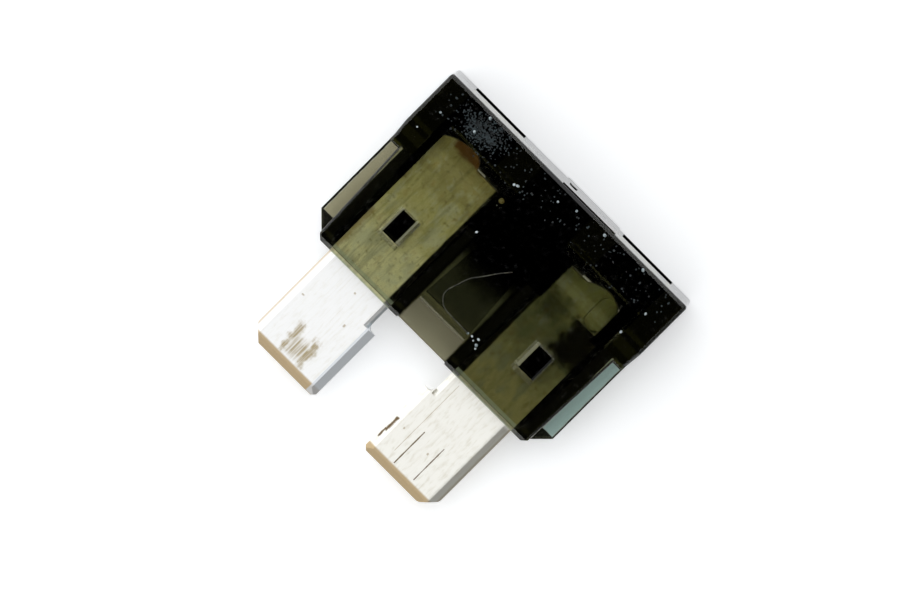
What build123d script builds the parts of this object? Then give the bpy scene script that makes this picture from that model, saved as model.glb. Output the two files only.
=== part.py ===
from build123d import *
import os

# Regular blade fuse, blown, lying on its back. Millimetres.
# X runs across the two blades, Y from the blade tips up to the head, Z from the back to the front.
# The origin is the centre of the bounding box in X and Y, and the back of the head in Z.
# The fuse has blown: the element between the two blades is gone, but for three frozen drops.

# ---------------------------------------------------------------- housing, outside
head_width = 19.3
head_height = 3.9
head_thickness = 5.1
head_edge_radius = 0.22
housing_height = 12.5
body_width = 19.1
body_thickness = 3.5
body_edge_radius = 0.15
shoulder_drop = 1.2
mouth_bevel = 0.25

# Thin fins along both sides of the legs, and the 45 degree cut at the lower corners.
fin_length = 7.05
fin_width_top = 0.70
fin_width_mouth = 0.98
fin_thickness = 1.2
corner_cut = 1.3

# Thin web between the legs, left by a recess in the front and one in the back.
web_thickness = 1.15
web_recess_height = 1.9
web_recess_slope = 0.3
window_half_mouth = 1.95
window_half_top = 1.50

# Low raised pad and gate mark on the top face.
gate_x = 0.0
pad_left = -0.6
pad_right = 3.65
pad_rise = 0.07
gate_radius = 0.3
gate_rise = 0.12

# ---------------------------------------------------------------- housing, inside
slot_clearance = 0.04
slot_side_gap = 0.45
slot_end_gap = 0.12
slot_mouth_land = 0.6
chamber_floor_wall = 0.34
chamber_thickness = 1.6
chamber_neck_height = 4.0
chamber_shoulder = 0.8

# Test-probe pockets, open at the top, that lead to the backs of the blades.
pocket_width = 4.0
pocket_inner_x = 4.05
pocket_back_wall = 0.4
pocket_overlap = 0.9

# Stakes: a post of the housing through the hole in each blade, under a dimple in the front.
stake_x = 5.55
stake_above_mouth = 3.76
stake_width = 1.15
stake_height = 1.72
stake_clearance = 0.05
dimple_margin = 0.24
dimple_slope = 0.11
dimple_depth = 0.85

# ---------------------------------------------------------------- blades
blade_thickness = 0.65
blade_reach = 7.0
blade_rise = 9.25
blade_outer_x = 7.48
blade_inner_x = 2.06
neck_inner_x = 2.65
neck_length = 1.85
neck_fillet = 0.35
tip_outer_cut = 0.9
tip_inner_cut = 0.25
left_tip_radius = 0.15
right_tip_radius = 0.45

# Bevels rolled along the long edges and across the tip, on both faces.
edge_bevel_width = 0.48
neck_bevel_width = 0.33
edge_bevel_depth = 0.2
tip_bevel_width = 0.4
tip_bevel_depth = 0.22

# Melted upper ends: each inner edge leans out to its own top corner, and a hump stands at the outer side.
left_top_inner_x = 2.85
left_step_x = 4.65
left_hump_rise = 0.7
left_corner_drop = 0.15
right_top_inner_x = 3.09
right_step_x = 4.5
right_hump_rise = 0.36
right_corner_loss = 1.8
lobe_x = 6.42
lobe_width = 1.3
lobe_length = 1.95
lobe_rise = 0.12
lobe_edge_radius = 0.1

# Drops of the element, frozen on the inside of the chamber's front wall.
drop_thickness = 0.12
drop_gap = 0.02
bead_x = -2.38
bead_below_roof = 0.95
bead_radius = 0.17
upper_curl_x = 0.55
upper_curl_below_roof = 1.6
lower_curl_x = 0.45
lower_curl_below_roof = 2.25
curl_radius = 0.34
curl_width = 0.13

# ---------------------------------------------------------------- derived places
top_y = (housing_height + blade_reach - gate_rise) / 2
mouth_y = top_y - housing_height
tip_y = mouth_y - blade_reach
ledge_y = top_y - head_height
middle_z = head_thickness / 2
body_front_z = middle_z + body_thickness / 2
blade_front_z = middle_z + blade_thickness / 2
blade_back_z = middle_z - blade_thickness / 2
chamber_front_z = middle_z + chamber_thickness / 2
fin_top_y = mouth_y + fin_length
recess_top_y = mouth_y + web_recess_height
chamber_floor_y = recess_top_y + chamber_floor_wall
chamber_neck_y = chamber_floor_y + chamber_neck_height
blade_top_y = mouth_y + blade_rise
cavity_top_y = blade_top_y + max(left_hump_rise, right_hump_rise) + slot_end_gap
lobe_low_y = blade_top_y + right_hump_rise - lobe_length
chamber_wide_y = lobe_low_y - slot_end_gap
stake_y = mouth_y + stake_above_mouth


def plate(points, z_low, z_high):
    """A prism of the XY outline between two heights."""
    outline = Pos(0, 0, z_low) * Face(Wire(Polyline(*points, close=True)))
    return extrude(outline, z_high - z_low, dir=(0, 0, 1))


def side_plate(points, half_width):
    """A prism of the YZ outline, centred across the fuse."""
    outline = Face(Wire(Polyline(*[(-half_width, y, z) for y, z in points], close=True)))
    return extrude(outline, 2 * half_width, dir=(1, 0, 0))


def block(width, length, thickness, y_low):
    """A box centred on the middle of the fuse's width and thickness."""
    return Pos(0, y_low + length / 2, middle_z) * Box(width, length, thickness)


def both_sides(right):
    """The right-hand shape and its mirror image across the YZ plane."""
    return right + mirror(right, about=Plane.YZ)


def front_and_back(front):
    """The front shape and its mirror image across the middle of the thickness."""
    return front + mirror(front, about=Plane.XY.offset(middle_z))


# ---------------------------------------------------------------- housing, outside
def head():
    """Thick head, all its edges rounded but those of the shoulder."""
    body = block(head_width, head_height, head_thickness, ledge_y)
    outer = [edge for edge in body.edges() if edge.center().Y > ledge_y + head_edge_radius]
    return fillet(outer, head_edge_radius)


def shoulder():
    """Sloped step from the head down to the thinner body."""
    sections = []
    for y, width, thickness in (
        (ledge_y - shoulder_drop, body_width, body_thickness),
        (ledge_y, head_width, head_thickness),
    ):
        plane = Plane(origin=(0, y, middle_z), x_dir=(1, 0, 0), z_dir=(0, 1, 0))
        sections.append(plane * RectangleRounded(width, thickness, head_edge_radius))
    return loft(sections)


def top_pad():
    """Low raised pad on the top face, with the round gate mark near its left end."""
    flat = head_thickness - 2 * head_edge_radius
    pad = Pos((pad_left + pad_right) / 2, top_y, middle_z) * Box(pad_right - pad_left, 2 * pad_rise, flat)
    gate = Pos(gate_x, top_y, middle_z) * Rot(90, 0, 0) * Cylinder(gate_radius, 2 * gate_rise)
    return pad + gate


def legs():
    """Thick part of the body that holds both blades, rounded down its outer sides."""
    half = body_width / 2
    right = [
        (half - fin_width_mouth, mouth_y),
        (half - fin_width_top, fin_top_y),
        (half, fin_top_y),
        (half, ledge_y - shoulder_drop),
    ]
    left = [(-x, y) for x, y in reversed(right)]
    solid = plate(right + left, body_front_z - body_thickness, body_front_z)
    sides = solid.edges().filter_by(lambda edge: abs(edge.center().X) > half - fin_width_mouth)
    return fillet(sides.filter_by(lambda edge: abs(edge.tangent_at(0.5).Z) < 0.5), body_edge_radius)


def fins():
    """Thin fins along both sides of the legs."""
    return block(body_width, fin_length, fin_thickness, mouth_y)


def corner_cuts():
    """45 degree cuts at the two lower corners, through fin and leg."""
    half = body_width / 2
    return both_sides(
        plate(
            [
                (half - corner_cut - 1, mouth_y - 1),
                (half + 1, mouth_y + corner_cut + 1),
                (half + 1, mouth_y - 1),
            ],
            0,
            head_thickness,
        )
    )


def window_half(y):
    """Half the width of the window between the legs at one height: it narrows upwards."""
    share = (y - mouth_y) / (chamber_neck_y - mouth_y)
    return window_half_mouth + (window_half_top - window_half_mouth) * share


def web_recesses():
    """Recesses between the legs, front and back, that leave the thin web."""
    web_front_z = middle_z + web_thickness / 2
    low = mouth_y - 1
    across = [(window_half(low), low), (window_half(recess_top_y), recess_top_y)]
    across += [(-x, y) for x, y in reversed(across)]
    profile = [
        (low, web_front_z),
        (recess_top_y - web_recess_slope, web_front_z),
        (recess_top_y, body_front_z),
        (recess_top_y, head_thickness),
        (low, head_thickness),
    ]
    front = plate(across, middle_z, head_thickness) & side_plate(profile, body_width / 2)
    return front_and_back(front)


def mouth_bevels():
    """Bevels along the front and back edges of the mouth."""
    profile = [
        (mouth_y, body_front_z - mouth_bevel),
        (mouth_y + mouth_bevel, body_front_z),
        (mouth_y, body_front_z),
    ]
    return front_and_back(side_plate(profile, body_width / 2))


def outside():
    """The housing's outer form, before its hollows."""
    solid = head() + shoulder() + top_pad() + legs() + fins()
    return solid - corner_cuts() - web_recesses() - mouth_bevels()


# ---------------------------------------------------------------- housing, inside
def blade_slots():
    """Slots in which the two blades stand, open at the mouth."""
    gap_z = blade_thickness / 2 + slot_clearance
    outer = blade_outer_x + slot_side_gap
    right = [
        (neck_inner_x - slot_clearance, mouth_y - 1),
        (neck_inner_x - slot_clearance, cavity_top_y),
        (outer, cavity_top_y),
        (outer, mouth_y + slot_mouth_land),
        (blade_outer_x + slot_clearance, mouth_y + slot_mouth_land - slot_side_gap),
        (blade_outer_x + slot_clearance, mouth_y - 1),
    ]
    return both_sides(plate(right, middle_z - gap_z, middle_z + gap_z))


def chamber():
    """T-shaped hollow between the blades and round their upper ends, where the element was."""
    neck = window_half(chamber_neck_y)
    right = [
        (window_half(chamber_floor_y), chamber_floor_y),
        (neck, chamber_neck_y),
        (neck_inner_x, chamber_neck_y + chamber_shoulder),
        (neck_inner_x, chamber_wide_y),
        (blade_outer_x + slot_side_gap, chamber_wide_y),
        (blade_outer_x + slot_side_gap, cavity_top_y),
    ]
    left = [(-x, y) for x, y in reversed(right)]
    return plate(right + left, chamber_front_z - chamber_thickness, chamber_front_z)


def probe_pockets():
    """Pockets from the top face down to the backs of the blades' upper ends."""
    low = blade_top_y - pocket_overlap
    right = [
        (pocket_inner_x, low),
        (pocket_inner_x + pocket_width, low),
        (pocket_inner_x + pocket_width, top_y + 1),
        (pocket_inner_x, top_y + 1),
    ]
    return both_sides(plate(right, pocket_back_wall, blade_back_z))


def stakes():
    """Posts of the housing that fill the holes in the blades."""
    post = Pos(stake_x, stake_y, middle_z) * Box(stake_width, stake_height, blade_thickness + 1)
    return both_sides(post)


def dimples():
    """Dimples in the front, left where the stakes were pressed down."""
    floor_z = body_front_z - dimple_depth
    wide = stake_width + 2 * dimple_margin
    high = stake_height + 2 * dimple_margin
    floor_size = (stake_width + dimple_slope, stake_height + dimple_slope)
    floor = Pos(stake_x, stake_y, floor_z) * Rectangle(*floor_size)
    mouth = Pos(stake_x, stake_y, body_front_z) * Rectangle(wide, high)
    return both_sides(loft([floor, mouth]))


def housing():
    """The whole moulding."""
    hollows = blade_slots() + chamber() + probe_pockets() - stakes()
    return outside() - hollows - dimples()


# ---------------------------------------------------------------- blades
def blade_plate(melt_line, top_inner_x, tip_radius):
    """A right-hand blade before its bevels: tip, step, neck and the given melted upper end.

    The melt line runs from the blade's outer edge to its inner top corner."""
    step_y = mouth_y - neck_length
    sides = Polyline(
        (top_inner_x, blade_top_y),
        (neck_inner_x, mouth_y),
        (neck_inner_x, step_y),
        (blade_inner_x, step_y),
        (blade_inner_x, tip_y + tip_inner_cut),
        (blade_inner_x + tip_inner_cut, tip_y),
        (blade_outer_x - tip_outer_cut, tip_y),
        (blade_outer_x, tip_y + tip_outer_cut),
        melt_line @ 0,
    )
    outline = Pos(0, 0, blade_back_z) * Face(Wire([*sides.edges(), *melt_line.edges()]))
    solid = extrude(outline, blade_thickness, dir=(0, 0, 1))
    solid = fillet(upright_edge(solid, neck_inner_x, step_y), neck_fillet)
    for x, y in (
        (blade_outer_x, tip_y + tip_outer_cut),
        (blade_outer_x - tip_outer_cut, tip_y),
    ):
        solid = fillet(upright_edge(solid, x, y), tip_radius)
    return solid


def upright_edge(solid, x, y):
    """The edge along Z that stands nearest to one corner of the outline."""
    upright = solid.edges().filter_by(Axis.Z)
    return upright.sort_by(lambda edge: Vertex(x, y, edge.center().Z).distance_to(edge))[0]


def long_bevel(x, inward, y_low, y_high):
    """Cuts one long edge back by the signed width, on the front and the back."""
    profile = Plane(origin=(0, y_low, 0), x_dir=(1, 0, 0), z_dir=(0, -1, 0)) * Face(
        Wire(
            Polyline(
                (x, blade_front_z - edge_bevel_depth),
                (x, blade_front_z),
                (x + inward, blade_front_z),
                close=True,
            )
        )
    )
    return front_and_back(extrude(profile, y_high - y_low, dir=(0, 1, 0)))


def tip_bevel():
    """Cuts the tip back on the front and the back, so that the blade starts easily in its socket."""
    profile = [
        (tip_y, blade_front_z - tip_bevel_depth),
        (tip_y + tip_bevel_width, blade_front_z),
        (tip_y, blade_front_z),
    ]
    return front_and_back(side_plate(profile, blade_outer_x))


def finished_blade(plate_solid):
    """Bevels the plate and opens its rectangular hole for the stake."""
    step_y = mouth_y - neck_length
    bevels = tip_bevel() + long_bevel(blade_inner_x, edge_bevel_width, tip_y, step_y)
    bevels += long_bevel(blade_outer_x, -edge_bevel_width, tip_y, mouth_y)
    bevels += long_bevel(neck_inner_x, neck_bevel_width, step_y, mouth_y)
    hole = Pos(stake_x, stake_y, middle_z) * Box(
        stake_width + 2 * stake_clearance, stake_height + 2 * stake_clearance, blade_thickness
    )
    return plate_solid - bevels - hole


def left_blade():
    """Left blade: its melted end rises in a low rounded hump towards the outer edge."""
    hump_y = blade_top_y + left_hump_rise
    melt_line = Spline(
        (blade_outer_x, blade_top_y + left_corner_drop),
        (blade_outer_x - 0.3, blade_top_y + left_hump_rise / 2),
        (blade_outer_x - 1.4, hump_y),
        (left_step_x + 0.4, hump_y - 0.06),
        (left_step_x, blade_top_y + 0.05),
    ) + Line((left_step_x, blade_top_y + 0.05), (left_top_inner_x, blade_top_y))
    right_hand = finished_blade(blade_plate(melt_line, left_top_inner_x, left_tip_radius))
    return mirror(right_hand, about=Plane.YZ)


def right_blade():
    """Right blade: its outer top corner is gone, and a lobe of remelted metal hangs over the face."""
    hump_y = blade_top_y + right_hump_rise
    melt_line = Spline(
        (blade_outer_x, hump_y - right_corner_loss),
        (lobe_x + lobe_width / 2, hump_y - right_corner_loss / 2),
        (lobe_x, hump_y),
        (right_step_x + 0.3, blade_top_y + 0.2),
        (right_step_x, blade_top_y),
    ) + Line((right_step_x, blade_top_y), (right_top_inner_x, blade_top_y))
    return finished_blade(blade_plate(melt_line, right_top_inner_x, right_tip_radius)) + lobe()


def lobe():
    """Flat-backed rounded lobe that lies on the right blade's front face."""
    place = Pos(lobe_x, lobe_low_y + lobe_length / 2, middle_z)
    outline = place * Rot(0, 0, 90) * SlotOverall(lobe_length, lobe_width)
    solid = extrude(outline, blade_thickness / 2 + lobe_rise, dir=(0, 0, 1))
    return fillet(solid.faces().sort_by(Axis.Z)[-1].edges(), lobe_edge_radius)


# ---------------------------------------------------------------- drops of the element
def drop(outline):
    """A flat drop of the given outline, just behind the chamber's front wall."""
    top_z = chamber_front_z - drop_gap
    return extrude(Pos(0, 0, top_z - drop_thickness) * outline, drop_thickness, dir=(0, 0, 1))


def element_bead():
    """Round drop at the left of the chamber."""
    return drop(Pos(bead_x, cavity_top_y - bead_below_roof) * Circle(bead_radius))


def element_curl(x, below_roof, start_angle, sweep_angle):
    """Curled drop: part of a ring, with rounded ends."""
    arc = CenterArc((x, cavity_top_y - below_roof), curl_radius, start_angle, sweep_angle)
    return drop(SlotArc(arc, curl_width))


def main():
    os.makedirs("parts", exist_ok=True)
    pieces = {
        "housing": housing(),
        "left_blade": left_blade(),
        "right_blade": right_blade(),
        "element_bead": element_bead(),
        "element_curl_upper": element_curl(upper_curl_x, upper_curl_below_roof, 15, 85),
        "element_curl_lower": element_curl(lower_curl_x, lower_curl_below_roof, -40, 120),
    }
    for name, solid in pieces.items():
        export_step(solid, f"parts/{name}.step")
        print(name, round(solid.volume, 3), len(solid.solids()))


main()
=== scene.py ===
# %% [markdown]
# # A blown blade fuse
# This lesson dresses a small automotive fuse in its real finishes. The solid parts come ready made in
# one fixed frame, so nothing here is moved or resized. What is left is the look: smoke-coloured plastic
# that light passes through, tinned blades, soot where the element burnt away, and the dust of a used part.

# %% Load the frame
import bmesh
import bpy
import math
import random
from mathutils import Matrix, Vector


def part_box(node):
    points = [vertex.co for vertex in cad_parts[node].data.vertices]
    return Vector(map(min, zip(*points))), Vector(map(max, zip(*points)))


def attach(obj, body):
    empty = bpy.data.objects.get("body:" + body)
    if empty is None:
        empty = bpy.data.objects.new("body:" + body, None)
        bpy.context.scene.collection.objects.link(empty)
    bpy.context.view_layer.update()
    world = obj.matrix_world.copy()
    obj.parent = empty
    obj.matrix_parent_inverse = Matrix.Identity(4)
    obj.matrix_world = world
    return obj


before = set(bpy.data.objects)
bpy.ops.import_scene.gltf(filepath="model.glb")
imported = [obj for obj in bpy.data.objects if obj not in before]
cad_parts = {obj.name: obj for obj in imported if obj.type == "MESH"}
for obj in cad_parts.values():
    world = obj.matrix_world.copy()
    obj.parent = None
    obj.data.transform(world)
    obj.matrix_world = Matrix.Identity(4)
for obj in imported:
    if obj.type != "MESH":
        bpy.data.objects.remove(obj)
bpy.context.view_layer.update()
MM = 0.001
print("nodes:", sorted(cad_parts))

# %% [markdown]
# ## Where the fuse touches the table
# The head is thicker than the body, so a fuse on its back leans: it rests on the lower back edge of
# its head and on the back edge of its mouth. The part's own frame stays square to its head, so the
# table is tilted under it instead. The angle follows from the two edges that touch.

# %% Find the resting plane
housing_low, housing_high = [Vector(corner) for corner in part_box("housing")]
blade_low = Vector(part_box("left_blade")[0])
HEAD_HEIGHT = 3.9 * MM
BODY_THICKNESS = 3.5 * MM
TOP_PAD = 0.12 * MM
HEAD_THICKNESS = housing_high.z - housing_low.z
TOP_Y = housing_high.y - TOP_PAD
MOUTH_Y = housing_low.y
LEDGE_Y = TOP_Y - HEAD_HEIGHT
TIP_Y = blade_low.y
MIDDLE_Z = HEAD_THICKNESS / 2
BODY_FRONT_Z = MIDDLE_Z + BODY_THICKNESS / 2

lean = math.atan2((HEAD_THICKNESS - BODY_THICKNESS) / 2, LEDGE_Y - MOUTH_Y)
TABLE_NORMAL = Vector((0, math.sin(lean), math.cos(lean)))
TABLE_FORWARD = Vector((0, math.cos(lean), -math.sin(lean)))
TABLE_POINT = Vector((0, LEDGE_Y, 0))
print(f"the table leans {math.degrees(lean):.2f} degrees")

# %% [markdown]
# ## Camera
# A long lens straight above the table keeps the outline of the fuse almost free of perspective. The
# fuse lies at 45 degrees in the picture, with its head to the upper right.

# %% Set up the camera
VIEW_WIDTH = 52.3 * MM
CAMERA_DISTANCE = 600 * MM
CAMERA_LEAN = math.radians(0.7)
AIM = Vector((-0.43 * MM, -0.3 * MM, 0))


def on_table(x, y):
    """The point of the table under one place of the fuse's own frame."""
    return TABLE_POINT + Vector((x, 0, 0)) + TABLE_FORWARD * (y - LEDGE_Y)


def make_camera():
    across = Vector((1, 0, 0))
    back = Matrix.Rotation(-CAMERA_LEAN, 3, across) @ TABLE_NORMAL
    forward = back.cross(across)
    right = (across + forward).normalized()
    up = (forward - across).normalized()
    lens = bpy.data.cameras.new("camera")
    lens.sensor_width = 36
    lens.lens = 36 * (CAMERA_DISTANCE - HEAD_THICKNESS) / VIEW_WIDTH
    lens.clip_start = 10 * MM
    lens.clip_end = 10
    camera = bpy.data.objects.new("camera", lens)
    bpy.context.scene.collection.objects.link(camera)
    turn = Matrix((right, up, back)).transposed().to_4x4()
    camera.matrix_world = Matrix.Translation(on_table(AIM.x, AIM.y) + back * CAMERA_DISTANCE) @ turn
    bpy.context.scene.camera = camera
    return camera


camera = make_camera()
bpy.context.scene.view_settings.view_transform = "Standard"
print("camera at", [round(v / MM) for v in camera.location])

# %% [markdown]
# ## Light and table
# The fuse lies on white paper under one broad soft light. A world whose brightness depends on
# direction does that without lamps: bright overhead and to the left, dimmer to the right, so that
# edges that turn right go grey. Straight above there is a dark gap, as there is where a camera hangs:
# polished faces mirror that gap and stay black, while rough metal gathers the light around it.
# A second gap, low beyond the blades, does the same for the sloped shoulder under the head.

# %% Light the scene
SHOULDER_DROP = 1.2 * MM
shoulder_slope = math.atan2((HEAD_THICKNESS - BODY_THICKNESS) / 2, SHOULDER_DROP)


def mirrored(slope):
    """Where a face that slopes down towards the blades mirrors what the camera's side sends."""
    angle = 2 * slope + lean + CAMERA_LEAN
    return Vector((0, -math.sin(angle), math.cos(angle)))


# Each gap is its direction, then its inner and outer half-angles in degrees.
DARK_GAPS = [(mirrored(0), 6, 10), (mirrored(shoulder_slope), 9, 15)]


def node(tree, kind, **inputs):
    """Adds a node and sets its inputs by name; a name may also be a node property."""
    made = tree.nodes.new(kind)
    for name, value in inputs.items():
        socket = made.inputs.get(name.replace("_", " "))
        if socket is not None:
            socket.default_value = value
        else:
            setattr(made, name, value)
    return made


def make_world():
    world = bpy.data.worlds.new("soft_light")
    bpy.context.scene.world = world
    world.use_nodes = True
    tree = world.node_tree
    tree.nodes.clear()
    place = node(tree, "ShaderNodeTexCoord")
    split = node(tree, "ShaderNodeSeparateXYZ")
    tree.links.new(place.outputs["Generated"], split.inputs["Vector"])
    side = node(tree, "ShaderNodeMapRange", interpolation_type="SMOOTHSTEP")
    side.inputs["From Min"].default_value = -0.1
    side.inputs["From Max"].default_value = 0.75
    side.inputs["To Min"].default_value = 1.3
    side.inputs["To Max"].default_value = 0.28
    tree.links.new(split.outputs["X"], side.inputs["Value"])
    level = side.outputs["Result"]
    for direction, inner, outer in DARK_GAPS:
        toward = node(tree, "ShaderNodeVectorMath", operation="DOT_PRODUCT")
        toward.inputs[1].default_value = direction
        tree.links.new(place.outputs["Generated"], toward.inputs[0])
        gap = node(tree, "ShaderNodeMapRange", interpolation_type="SMOOTHSTEP")
        gap.inputs["From Min"].default_value = math.cos(math.radians(outer))
        gap.inputs["From Max"].default_value = math.cos(math.radians(inner))
        gap.inputs["To Min"].default_value = 1.0
        gap.inputs["To Max"].default_value = 0.0
        tree.links.new(toward.outputs["Value"], gap.inputs["Value"])
        dimmed = node(tree, "ShaderNodeMath", operation="MULTIPLY")
        tree.links.new(level, dimmed.inputs[0])
        tree.links.new(gap.outputs["Result"], dimmed.inputs[1])
        level = dimmed.outputs["Value"]
    light = node(tree, "ShaderNodeBackground")
    light.inputs["Color"].default_value = (0.98, 0.99, 1.0, 1)
    tree.links.new(level, light.inputs["Strength"])
    out = node(tree, "ShaderNodeOutputWorld")
    tree.links.new(light.outputs["Background"], out.inputs["Surface"])
    return world


make_world()
print("dark gaps in the light:", len(DARK_GAPS))

# %% [markdown]
# ## Paper
# The sheet is one flat face under the two edges that touch. It is plain white, and it glows a little
# where the camera or a mirror sees it, so that it stays white while its soft shadows are kept.

# %% Lay the paper
PAPER_SIZE = 1.2


def paper_material():
    paint = bpy.data.materials.new("white_paper")
    paint.use_nodes = True
    tree = paint.node_tree
    surface = tree.nodes["Principled BSDF"]
    surface.inputs["Base Color"].default_value = (0.93, 0.94, 0.95, 1)
    surface.inputs["Roughness"].default_value = 0.9
    surface.inputs["Specular IOR Level"].default_value = 0.1
    path = node(tree, "ShaderNodeLightPath")
    seen = node(tree, "ShaderNodeMath", operation="ADD", use_clamp=True)
    tree.links.new(path.outputs["Is Camera Ray"], seen.inputs[0])
    tree.links.new(path.outputs["Is Glossy Ray"], seen.inputs[1])
    glow = node(tree, "ShaderNodeMath", operation="MULTIPLY")
    glow.inputs[1].default_value = 0.3
    tree.links.new(seen.outputs["Value"], glow.inputs[0])
    surface.inputs["Emission Color"].default_value = (1, 1, 1, 1)
    tree.links.new(glow.outputs["Value"], surface.inputs["Emission Strength"])
    return paint


def make_paper():
    sheet = bmesh.new()
    turn = Matrix((Vector((1, 0, 0)), TABLE_FORWARD, TABLE_NORMAL)).transposed().to_4x4()
    place = Matrix.Translation(TABLE_POINT - TABLE_NORMAL * 0.02 * MM) @ turn
    bmesh.ops.create_grid(sheet, x_segments=1, y_segments=1, size=PAPER_SIZE / 2, matrix=place)
    mesh = bpy.data.meshes.new("paper")
    sheet.to_mesh(mesh)
    sheet.free()
    paper = bpy.data.objects.new("paper", mesh)
    bpy.context.scene.collection.objects.link(paper)
    mesh.materials.append(paper_material())
    return paper


make_paper()
print("paper laid")

# %% [markdown]
# ## Patches in millimetres
# Soot, wear and stains sit at known places of the fuse, so the materials need soft-edged patches that
# are placed in millimetres. Painted textures could do it, but a procedural patch stays sharp at any
# size. One node group makes such a patch from the object's own coordinates, with an edge that noise
# makes ragged, and every material places it with its own values.

# %% Helpers for node trees
def link(tree, value, socket):
    """Feeds a socket with another node's output, or sets it to a plain value."""
    if isinstance(value, bpy.types.NodeSocket):
        tree.links.new(value, socket)
    else:
        socket.default_value = value


def math_node(tree, operation, first, second=0.0):
    made = node(tree, "ShaderNodeMath", operation=operation)
    link(tree, first, made.inputs[0])
    link(tree, second, made.inputs[1])
    return made.outputs["Value"]


def fade(tree, value, start, end):
    """0 up to start and 1 from end, smooth between them; start may be the larger."""
    made = node(tree, "ShaderNodeMapRange", interpolation_type="SMOOTHSTEP")
    link(tree, value, made.inputs["Value"])
    link(tree, start, made.inputs["From Min"])
    link(tree, end, made.inputs["From Max"])
    return made.outputs["Result"]


def blend(tree, share, first, second):
    """Mixes two colours by a mask."""
    made = node(tree, "ShaderNodeMix", data_type="RGBA")
    for value, place in ((share, 0), (first, 6), (second, 7)):
        link(tree, value, made.inputs[place])
    return made.outputs[2]


def millimetres(tree):
    """X, Y and Z on the object in millimetres, and the same place as one vector."""
    place = node(tree, "ShaderNodeTexCoord")
    scaled = node(tree, "ShaderNodeVectorMath", operation="SCALE")
    scaled.inputs["Scale"].default_value = 1 / MM
    tree.links.new(place.outputs["Object"], scaled.inputs[0])
    split = node(tree, "ShaderNodeSeparateXYZ")
    tree.links.new(scaled.outputs["Vector"], split.inputs["Vector"])
    return split.outputs["X"], split.outputs["Y"], split.outputs["Z"], scaled.outputs["Vector"]


def grain(tree, place, scale, detail=3.0, stretch=(1, 1, 1)):
    """Noise around 0.5, with so many features a millimetre, stretched along the axes."""
    squeezed = node(tree, "ShaderNodeVectorMath", operation="MULTIPLY")
    squeezed.inputs[1].default_value = stretch
    tree.links.new(place, squeezed.inputs[0])
    made = node(tree, "ShaderNodeTexNoise", Scale=scale, Detail=detail)
    tree.links.new(squeezed.outputs["Vector"], made.inputs["Vector"])
    return made.outputs["Fac"]


print("node helpers ready")

# %% Build the patch group
PATCH_INPUTS = {"X": 0, "Y": 0, "Half Width": 1, "Half Height": 1, "Softness": 0.2, "Ragged": 0}


def make_patch_group():
    group = bpy.data.node_groups.new("soft_patch", "ShaderNodeTree")
    for label, value in PATCH_INPUTS.items():
        socket = group.interface.new_socket(label, in_out="INPUT", socket_type="NodeSocketFloat")
        socket.default_value = value
    group.interface.new_socket("Mask", in_out="OUTPUT", socket_type="NodeSocketFloat")
    values = group.nodes.new("NodeGroupInput").outputs
    result = group.nodes.new("NodeGroupOutput")
    x, y, _, place = millimetres(group)
    shake = math_node(group, "SUBTRACT", grain(group, place, 2.2), 0.5)
    shake = math_node(group, "MULTIPLY", shake, values["Ragged"])
    mask = 1.0
    for coordinate, centre, half in ((x, "X", "Half Width"), (y, "Y", "Half Height")):
        away = math_node(group, "SUBTRACT", coordinate, values[centre])
        away = math_node(group, "ADD", math_node(group, "ABSOLUTE", away), shake)
        inside = math_node(group, "SUBTRACT", values[half], values["Softness"])
        mask = math_node(group, "MULTIPLY", fade(group, away, values[half], inside), mask)
    link(group, mask, result.inputs["Mask"])
    return group


PATCH = make_patch_group()


def patch(tree, *values):
    """One soft patch: x, y, half width, half height, softness and raggedness in millimetres."""
    made = node(tree, "ShaderNodeGroup", node_tree=PATCH)
    for label, value in zip(PATCH_INPUTS, values):
        made.inputs[label].default_value = value
    return made.outputs["Mask"]


def patches(tree, places, strength=1.0):
    """The strongest of several patches, times a strength."""
    strongest = patch(tree, *places[0])
    for place in places[1:]:
        strongest = math_node(tree, "MAXIMUM", strongest, patch(tree, *place))
    return math_node(tree, "MULTIPLY", strongest, strength)


print("patch inputs:", list(PATCH_INPUTS))

# %% [markdown]
# ## Smoke plastic
# The housing is one moulding of clear plastic with a smoke tint. A tint that is only painted on would
# look the same in a thin fin and in the thick head. Here the colour is in the depth: Volume Absorption
# takes light away with every millimetre, so thin walls show the blades and thick ones go black. Painted
# shade, a near-black colour, blackens the back of the thick parts, some corners over the blades and the
# stake ends. The two fins get painted shade and a painted bluish reflection, and soot from the burnt
# element clouds the thin window.

# %% Make the smoke plastic
MOUTH = MOUTH_Y / MM
TIP = TIP_Y / MM
STAKE_Y = MOUTH + 3.76
CLEAR = (1, 1, 1, 1)
# Painted shade: a near-black colour that makes the thick plastic render black.
NEAR_BLACK_SHADE = (0.0002, 0.0002, 0.00015, 1)
# The two fins are the same plastic; their colours are painted light: painted shade on the left fin, a
# painted bluish reflection and shade on the right one.
LEFT_FIN_SHADE = (0.45, 0.42, 0.33, 1)
RIGHT_FIN_REFLECTION = (0.49, 0.66, 0.75, 1)
WINDOW_LOW = (0.37, 0.35, 0.28, 1)
WINDOW_MIDDLE = (0.25, 0.26, 0.20, 1)
WINDOW_TOP = (0.004, 0.004, 0.003, 1)
CLEAR_PLACES = [
    (-5.2, MOUTH + 4.5, 2.25, 4.75, 0.12, 0),
    (5.25, MOUTH + 4.5, 2.2, 4.75, 0.12, 0),
    (0, MOUTH + 0.5, 1.95, 5.6, 0.2, 0.1),
    (-9.03, MOUTH + 4.15, 0.42, 2.9, 0.08, 0.06),
    (9.07, MOUTH + 4.15, 0.42, 2.9, 0.08, 0.06),
]
LEFT_FIN, RIGHT_FIN = CLEAR_PLACES[3:]
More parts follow.
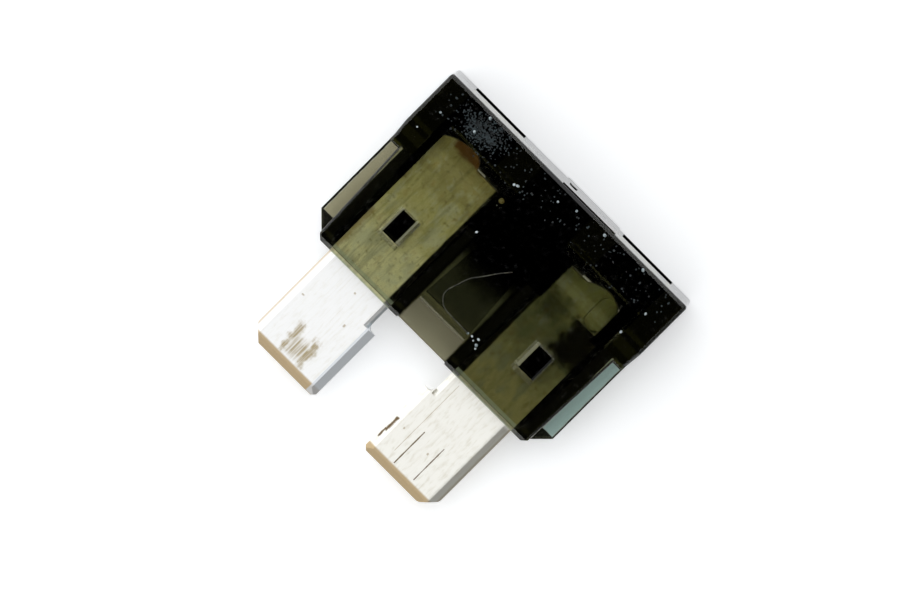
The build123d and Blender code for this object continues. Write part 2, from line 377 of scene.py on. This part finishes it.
# Painted shade: corners over the blades are coloured near black, like the thick ribs beside them.
CORNER_SHADE = [
    (7.42, MOUTH + 8.7, 0.46, 1.75, 0.1, 0), (-7.75, MOUTH + 8.2, 0.3, 2.4, 0.1, 0),
    (-2.45, MOUTH + 7.7, 0.55, 1.05, 0.15, 0), (2.6, MOUTH + 8.2, 0.65, 1.5, 0.15, 0),
]
WINDOW_PLACE = (0, MOUTH + 4, 2.2, 9, 0.2, 0.1)
# Painted shade: the stake ends are coloured near black, standing in for the shade of the deep plastic
# plugs.
STAKE_SHADE_PLACES = [(-5.57, STAKE_Y, 0.53, 0.88, 0.05, 0), (5.72, STAKE_Y, 0.6, 0.88, 0.05, 0)]


def plastic_colour(tree):
    """Clear, with painted near-black shade behind the thick parts, on some corners and on the dark stake
    ends, painted shade and a painted bluish reflection on the fins, and soot in the window.
    """
    _, y, z, place = millimetres(tree)
    thick = math_node(tree, "SUBTRACT", 1.0, patches(tree, CLEAR_PLACES))
    # Painted shade on the back faces of the thick parts, outside the clear places.
    thick_part_shade = math_node(tree, "MULTIPLY", thick, fade(tree, z, 2.55, 2.4))
    cloud = math_node(tree, "SUBTRACT", grain(tree, place, 0.9), 0.5)
    height = math_node(tree, "ADD", y, math_node(tree, "MULTIPLY", cloud, 2.2))
    window = blend(tree, fade(tree, height, MOUTH + 1.7, MOUTH + 2.5), WINDOW_LOW, WINDOW_MIDDLE)
    window = blend(tree, fade(tree, height, MOUTH + 3.6, MOUTH + 6.2), window, WINDOW_TOP)
    # Painted shade on the left fin and a painted bluish reflection on the right fin.
    colour = blend(tree, patch(tree, *LEFT_FIN), CLEAR, LEFT_FIN_SHADE)
    colour = blend(tree, patch(tree, *RIGHT_FIN), colour, RIGHT_FIN_REFLECTION)
    colour = blend(tree, patch(tree, *WINDOW_PLACE), colour, window)
    # Painted shade: near black on the back of the thick parts, on the corners over the blades and on the
    # stake ends.
    colour = blend(tree, thick_part_shade, colour, NEAR_BLACK_SHADE)
    colour = blend(tree, patches(tree, CORNER_SHADE), colour, NEAR_BLACK_SHADE)
    return blend(tree, patches(tree, STAKE_SHADE_PLACES), colour, NEAR_BLACK_SHADE)


def smoke_plastic():
    plastic = bpy.data.materials.new("smoke_plastic")
    plastic.use_nodes = True
    tree = plastic.node_tree
    surface = tree.nodes["Principled BSDF"]
    place = millimetres(tree)[3]
    link(tree, plastic_colour(tree), surface.inputs["Base Color"])
    scuffs = fade(tree, grain(tree, place, 3.0, 6.0), 0.5, 0.75)
    rough = math_node(tree, "MULTIPLY", scuffs, 0.12)
    link(tree, math_node(tree, "ADD", rough, 0.05), surface.inputs["Roughness"])
    bump = node(tree, "ShaderNodeBump", Strength=0.15, Distance=0.02 * MM)
    link(tree, grain(tree, place, 1.2, 2.0), bump.inputs["Height"])
    link(tree, bump.outputs["Normal"], surface.inputs["Normal"])
    surface.inputs["IOR"].default_value = 1.5
    surface.inputs["Transmission Weight"].default_value = 1.0
    depth = node(tree, "ShaderNodeVolumeAbsorption", Color=(0.55, 0.55, 0.26, 1), Density=600)
    tree.links.new(depth.outputs["Volume"], tree.nodes["Material Output"].inputs["Volume"])
    return plastic


def dress(name, material):
    """Gives every material slot of one CAD node the same material."""
    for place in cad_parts[name].material_slots:
        place.material = material


dress("housing", smoke_plastic())
print("housing dressed")

# %% [markdown]
# ## Blade metal
# The blades are stamped from zinc and plated with tin, so they are pale and only half polished: fine
# lines run down them, with a few deeper scratches where the socket rubbed. Inside the housing the heat
# has turned the plating khaki, and the right blade is the sootier one. All of this is colour in one
# shared metal, because it is one plated strip that melted in the middle.

# %% List the marks on the blades
EXPOSED_MIDDLE = (MOUTH + TIP) / 2
SCRATCHES = [(3.99, -7.85, 0.05, 1.3, 0.03, 0.05), (5.5, -7.75, 0.045, 1.3, 0.03, 0.05)]
FAINT_LINES = [(3.49, -5.9, 0.03, 2.7, 0.02, 0.03), (1.75, -6.2, 0.03, 3.2, 0.02, 0)]
SPECKS = [
    (-6.73, -5.9, 0.14, 0.1, 0.08, 0.15), (-3.73, -5.5, 0.09, 0.12, 0.07, 0.15),
    (-4.63, -3.7, 0.08, 0.08, 0.06, 0.1), (2.97, -7.26, 0.09, 0.1, 0.06, 0.1),
    (5.02, -7.36, 0.09, 0.1, 0.06, 0.1),
]
SMUDGES = [(2.27, -7.6, 0.15, 0.6, 0.12, 0.25), (2.2, -8.35, 0.09, 0.4, 0.07, 0.15)]
WORN_PLACES = [
    (-5.45, -8.1, 0.4, 1.15, 0.4, 0.9), (-4.05, -8.2, 0.42, 1.1, 0.4, 0.9),
    (-4.75, -8.4, 1.0, 0.95, 0.7, 0.7),
]
# Painted shade: the blades' inner edges under the thick ribs are coloured black.
INNER_EDGE_SHADE = [(-2.45, MOUTH + 5, 0.66, 5.1, 0.14, 0.1), (2.55, MOUTH + 5, 0.62, 5.1, 0.14, 0.1)]
print(len(SCRATCHES + FAINT_LINES + SPECKS + SMUDGES + WORN_PLACES), "marks")

# %% Make the blade metal
BRIGHT_LEFT = (1.0, 1.0, 0.99, 1)
BRIGHT_RIGHT = (0.98, 0.965, 0.90, 1)
LINE_COLOUR = (0.80, 0.78, 0.71, 1)
KHAKI_LEFT = [(0.99, 0.97, 0.74, 1), (0.66, 0.63, 0.35, 1), (0.44, 0.40, 0.22, 1)]
KHAKI_RIGHT = [(0.33, 0.31, 0.165, 1), (0.12, 0.13, 0.07, 1), (0.20, 0.205, 0.095, 1)]
BURNT = (0.16, 0.08, 0.03, 1)
# Real soot on the right blade, and also painted shade on the blades' inner edges.
SOOT_AND_SHADE = (0.006, 0.005, 0.002, 1)
TAN = (0.50, 0.36, 0.18, 1)
BROWN = (0.35, 0.24, 0.10, 1)
SCRATCH_COLOUR = (0.16, 0.11, 0.06, 1)
WORN_COLOUR = (0.46, 0.38, 0.24, 1)
HANDLED_COLOUR = (0.70, 0.66, 0.54, 1)


def heat_stain(tree, height, colours):
    """Khaki that deepens from the mouth up to the burnt end."""
    low, middle, high = colours
    stain = blend(tree, fade(tree, height, MOUTH + 1.0, MOUTH + 5.5), low, middle)
    return blend(tree, fade(tree, height, MOUTH + 5.5, MOUTH + 9.0), stain, high)


def tin_colour(tree, lines):
    x, y, _, place = millimetres(tree)
    right = fade(tree, x, -1, 1)
    colour = blend(tree, right, BRIGHT_LEFT, BRIGHT_RIGHT)
    brushed = math_node(tree, "MULTIPLY", fade(tree, lines, 0.5, 0.8), 0.4)
    colour = blend(tree, brushed, colour, LINE_COLOUR)
    handled = fade(tree, grain(tree, place, 5.5, 6.0, (1, 0.3, 1)), 0.45, 0.8)
    share = math_node(tree, "ADD", math_node(tree, "MULTIPLY", right, 0.3), 0.25)
    colour = blend(tree, math_node(tree, "MULTIPLY", handled, share), colour, HANDLED_COLOUR)
    stripes = math_node(tree, "MULTIPLY", fade(tree, lines, 0.35, 0.65), 0.7)
    stripes = math_node(tree, "ADD", stripes, 0.3)
    striped = math_node(tree, "MULTIPLY", patches(tree, WORN_PLACES), stripes)
    colour = blend(tree, striped, colour, WORN_COLOUR)
    colour = blend(tree, patches(tree, FAINT_LINES, 0.5), colour, BROWN)
    colour = blend(tree, patches(tree, SPECKS, 0.6), colour, BROWN)
    colour = blend(tree, patches(tree, SCRATCHES + SMUDGES), colour, SCRATCH_COLOUR)
    tips = fade(tree, y, TIP + 0.66, TIP + 0.5)
    colour = blend(tree, math_node(tree, "MULTIPLY", tips, 0.9), colour, TAN)
    # Painted shade: a tan line along both outer blade edges stands in for the contact shadow at the
    # bevels.
    edge = fade(tree, math_node(tree, "ABSOLUTE", x), 7.3, 7.42)
    colour = blend(tree, math_node(tree, "MULTIPLY", edge, 0.6), colour, TAN)
    shaded = patch(tree, 7.3, EXPOSED_MIDDLE, 0.5, 3.4, 0.3, 0.15)
    colour = blend(tree, math_node(tree, "MULTIPLY", shaded, 0.55), colour, (0.35, 0.34, 0.28, 1))
    # Painted shade: the left blade's inner bevel turns away from the light and is painted grey.
    inner = patch(tree, -2.3, EXPOSED_MIDDLE, 0.42, 3.5, 0.06, 0.05)
    colour = blend(tree, math_node(tree, "MULTIPLY", inner, 0.7), colour, (0.68, 0.72, 0.76, 1))
    # Painted shade on the left blade's inner neck edge, which faces away from the light.
    neck_shade = patches(tree, [(-2.66, -3.7, 0.18, 0.95, 0.08, 0.1)], 0.8)
    colour = blend(tree, neck_shade, colour, (0.50, 0.54, 0.56, 1))
    mottle = math_node(tree, "SUBTRACT", grain(tree, place, 1.4, 5.0), 0.5)
    height = math_node(tree, "ADD", y, math_node(tree, "MULTIPLY", mottle, 5.0))
    stains = [heat_stain(tree, height, colours) for colours in (KHAKI_LEFT, KHAKI_RIGHT)]
    inside = fade(tree, y, MOUTH - 0.02, MOUTH + 0.06)
    khaki = blend(tree, right, *stains)
    bare = fade(tree, grain(tree, place, 1.3, 5.0, (1, 0.6, 1)), 0.48, 0.68)
    grey = blend(tree, right, (0.70, 0.73, 0.66, 1), (0.19, 0.205, 0.17, 1))
    khaki = blend(tree, math_node(tree, "MULTIPLY", bare, 0.55), khaki, grey)
    tarnish = fade(tree, grain(tree, place, 2.1, 5.0, (0.9, 0.5, 1)), 0.55, 0.72)
    brown = blend(tree, right, (0.52, 0.40, 0.20, 1), (0.16, 0.12, 0.05, 1))
    khaki = blend(tree, math_node(tree, "MULTIPLY", tarnish, 0.5), khaki, brown)
    streaks = fade(tree, grain(tree, place, 4.0, 5.0, (1, 0.12, 1)), 0.42, 0.72)
    khaki = blend(tree, math_node(tree, "MULTIPLY", streaks, 0.38), khaki, (0.16, 0.15, 0.07, 1))
    spots = fade(tree, grain(tree, place, 3.2, 6.0), 0.56, 0.72)
    khaki = blend(tree, math_node(tree, "MULTIPLY", spots, 0.4), khaki, (0.12, 0.09, 0.03, 1))
    colour = blend(tree, inside, colour, khaki)
    colour = blend(tree, patch(tree, -5.4, MOUTH + 9.7, 1.5, 0.6, 0.4, 0.4), colour, BURNT)
    rust = patches(tree, [(-7.42, MOUTH + 1.7, 0.4, 1.9, 0.38, 0.9)], 0.6)
    colour = blend(tree, rust, colour, BROWN)
    colour = blend(tree, patch(tree, 6.65, MOUTH + 6.2, 1.5, 1.9, 0.8, 1.2), colour, SOOT_AND_SHADE)
    colour = blend(tree, patches(tree, [(4.1, MOUTH + 7.2, 1.3, 1.6, 1.0, 1.0)], 0.6), colour, SOOT_AND_SHADE)
    # Painted shade along the blades' inner edges under the ribs.
    colour = blend(tree, patches(tree, INNER_EDGE_SHADE), colour, SOOT_AND_SHADE)
    glint = math_node(tree, "MULTIPLY", inside, fade(tree, y, MOUTH + 0.44, MOUTH + 0.36))
    colour = blend(tree, math_node(tree, "MULTIPLY", glint, 0.5), colour, (0.55, 0.66, 0.62, 1))
    # Painted shade: a dark line on the blades just inside the mouth, where the housing edge meets them.
    mouth_shade = math_node(tree, "MULTIPLY", inside, fade(tree, y, MOUTH + 0.2, MOUTH + 0.14))
    return blend(tree, mouth_shade, colour, (0.10, 0.07, 0.03, 1))


def tin_plate():
    metal = bpy.data.materials.new("tin_plate")
    metal.use_nodes = True
    tree = metal.node_tree
    surface = tree.nodes["Principled BSDF"]
    lines = grain(tree, millimetres(tree)[3], 7.0, 4.0, (1, 0.03, 1))
    surface.inputs["Metallic"].default_value = 1.0
    link(tree, tin_colour(tree, lines), surface.inputs["Base Color"])
    rough = math_node(tree, "MULTIPLY", lines, 0.2)
    link(tree, math_node(tree, "ADD", rough, 0.36), surface.inputs["Roughness"])
    bump = node(tree, "ShaderNodeBump", Strength=0.25, Distance=0.01 * MM)
    link(tree, lines, bump.inputs["Height"])
    link(tree, bump.outputs["Normal"], surface.inputs["Normal"])
    return metal


metal = tin_plate()
dress("left_blade", metal)
dress("right_blade", metal)
print("blades dressed")

# %% [markdown]
# ## Spatter from the burnt element
# The element melted, and what is left of it froze on the chamber wall as a bead and two curls. Frozen
# metal is not brushed: it is dull, a little yellow and pitted, so it gets a metal of its own.

# %% Dress the bead and the curls
def remelted_metal():
    metal = bpy.data.materials.new("remelted_metal")
    metal.use_nodes = True
    tree = metal.node_tree
    surface = tree.nodes["Principled BSDF"]
    pits = grain(tree, millimetres(tree)[3], 9.0, 4.0)
    surface.inputs["Metallic"].default_value = 1.0
    colour = blend(tree, fade(tree, pits, 0.35, 0.65), (0.30, 0.25, 0.12, 1), (0.75, 0.68, 0.42, 1))
    link(tree, colour, surface.inputs["Base Color"])
    link(tree, math_node(tree, "ADD", pits, 0.05), surface.inputs["Roughness"])
    bump = node(tree, "ShaderNodeBump", Strength=0.6, Distance=0.03 * MM)
    link(tree, pits, bump.inputs["Height"])
    link(tree, bump.outputs["Normal"], surface.inputs["Normal"])
    return metal


spatter = remelted_metal()
for name in ("element_bead", "element_curl_upper", "element_curl_lower"):
    dress(name, spatter)
print("spatter dressed")

# %% [markdown]
# ## Dust
# A used fuse carries pale dust. A speckled texture would lie flat and vanish from the side, so the
# flecks are real: small flattened balls of 20 faces, half sunk in the surface, in two meshes. A list
# holds the large pale ones, and a seeded draw scatters the small dim ones and the denser smear.

# %% Make the dust material
def pale_dust(name, dark, light):
    dust = bpy.data.materials.new(name)
    dust.use_nodes = True
    tree = dust.node_tree
    surface = tree.nodes["Principled BSDF"]
    mix = fade(tree, grain(tree, millimetres(tree)[3], 5.0), 0.3, 0.7)
    link(tree, blend(tree, mix, dark, light), surface.inputs["Base Color"])
    surface.inputs["Roughness"].default_value = 0.85
    return dust


DUST = pale_dust("pale_dust", (0.12, 0.16, 0.17, 1), (0.55, 0.62, 0.64, 1))
FINE_DUST = pale_dust("fine_dust", (0.003, 0.005, 0.006, 1), (0.022, 0.034, 0.038, 1))
DRY = pale_dust("dry_residue", (0.008, 0.008, 0.006, 1), (0.075, 0.075, 0.055, 1))
print("dust materials:", DUST.name, FINE_DUST.name, DRY.name)

# %% Scatter the flecks
HEAD_FRONT = HEAD_THICKNESS / MM
BODY_FRONT = BODY_FRONT_Z / MM
LARGE_FLECKS = [
    (-6.23, 9.36, 0.13), (-6.33, 8.16, 0.12), (-2.53, 7.61, 0.11), (-2.33, 7.71, 0.12),
    (1.12, 9.11, 0.09), (-0.03, 8.71, 0.09), (3.27, 9.26, 0.12), (6.27, 9.4, 0.12),
    (-8.53, 7.56, 0.1), (8.17, 7.71, 0.09), (7.9, 5.95, 0.1), (-8.9, 6.0, 0.08),
]
BODY_FLECKS = [
    (-2.13, 4.03, 0.09), (-2.4, 6.0, 0.05), (1.67, -0.52, 0.08), (1.97, -0.47, 0.08),
    (2.37, -0.34, 0.1), (2.52, -0.67, 0.13), (2.62, -0.85, 0.08), (2.2, -0.6, 0.06),
]
SMEAR_FLECKS = 650
FINE_FLECKS = 150


def fleck(mesh, x, y, z, radius, draw):
    stretch = Matrix.Diagonal((draw.uniform(0.8, 1.3), draw.uniform(0.7, 1.1), 0.35, 1))
    turn = Matrix.Rotation(draw.uniform(0, math.pi), 4, "Z")
    place = Matrix.Translation(Vector((x, y, z)) * MM) @ turn @ stretch
    bmesh.ops.create_icosphere(mesh, subdivisions=1, radius=radius * MM, matrix=place)


def add_piece(name, mesh, material):
    """Turns a bmesh into a piece that rides on the fuse."""
    bmesh.ops.recalc_face_normals(mesh, faces=mesh.faces)
    data = bpy.data.meshes.new(name)
    mesh.to_mesh(data)
    mesh.free()
    piece = bpy.data.objects.new(name, data)
    bpy.context.scene.collection.objects.link(piece)
    data.materials.append(material)
    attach(piece, "root")
    return piece


def scatter_dust():
    draw = random.Random(7)
    mesh = bmesh.new()
    for x, y, radius in LARGE_FLECKS:
        fleck(mesh, x, y, HEAD_FRONT, radius, draw)
    for x, y, radius in BODY_FLECKS:
        fleck(mesh, x, y, BODY_FRONT, radius, draw)
    return add_piece("dust_flecks", mesh, DUST)


def scatter_fine_dust():
    draw = random.Random(5)
    mesh = bmesh.new()
    for _ in range(FINE_FLECKS):
        x, y = draw.uniform(-8.9, 9.0), draw.uniform(7.3, 9.4)
        fleck(mesh, x, y, HEAD_FRONT, draw.uniform(0.03, 0.08), draw)
    for _ in range(SMEAR_FLECKS):
        x, y = draw.gauss(-5.9, 0.8), min(draw.gauss(8.55, 0.45), 9.4)
        fleck(mesh, x, y, HEAD_FRONT, draw.uniform(0.02, 0.07), draw)
    return add_piece("fine_dust", mesh, FINE_DUST)


dust = scatter_dust()
fine = scatter_fine_dust()
print(len(dust.data.polygons) + len(fine.data.polygons), "faces of dust")

# %% [markdown]
# ## Dried residue
# A thin pale line has dried on the front of the window and ends at a few of the dust beads. It is a raised
# thread only a few hundredths of a millimetre thick: a smooth curve with a round section, made a mesh.

# %% Draw the residue
TRACE = [
    (1.67, -0.52), (0.6, -0.5), (-0.43, -0.47), (-0.93, 0.03), (-0.98, 0.43), (-0.75, 1.1),
    (-0.53, 1.83), (-0.13, 2.33), (0.2, 2.8), (0.47, 3.23), (1.0, 3.85),
]
TRACE_RADIUS = 0.035


def draw_residue():
    line = bpy.data.curves.new("residue_line", "CURVE")
    line.dimensions = "3D"
    line.bevel_depth = TRACE_RADIUS * MM
    line.bevel_resolution = 1
    line.resolution_u = 4
    line.use_fill_caps = True
    spline = line.splines.new("NURBS")
    spline.points.add(len(TRACE) - 1)
    for point, (x, y) in zip(spline.points, TRACE):
        point.co = (x * MM, y * MM, BODY_FRONT * MM, 1)
    spline.order_u = 3
    spline.use_endpoint_u = True
    holder = bpy.data.objects.new("residue_line", line)
    bpy.context.scene.collection.objects.link(holder)
    bpy.context.view_layer.update()
    tube = bpy.data.meshes.new_from_object(holder)
    bpy.data.objects.remove(holder)
    bpy.data.curves.remove(line)
    mesh = bmesh.new()
    mesh.from_mesh(tube)
    bpy.data.meshes.remove(tube)
    bmesh.ops.remove_doubles(mesh, verts=mesh.verts, dist=0.001 * MM)
    return add_piece("dried_residue", mesh, DRY)


residue = draw_residue()
print(len(residue.data.polygons), "faces of residue")
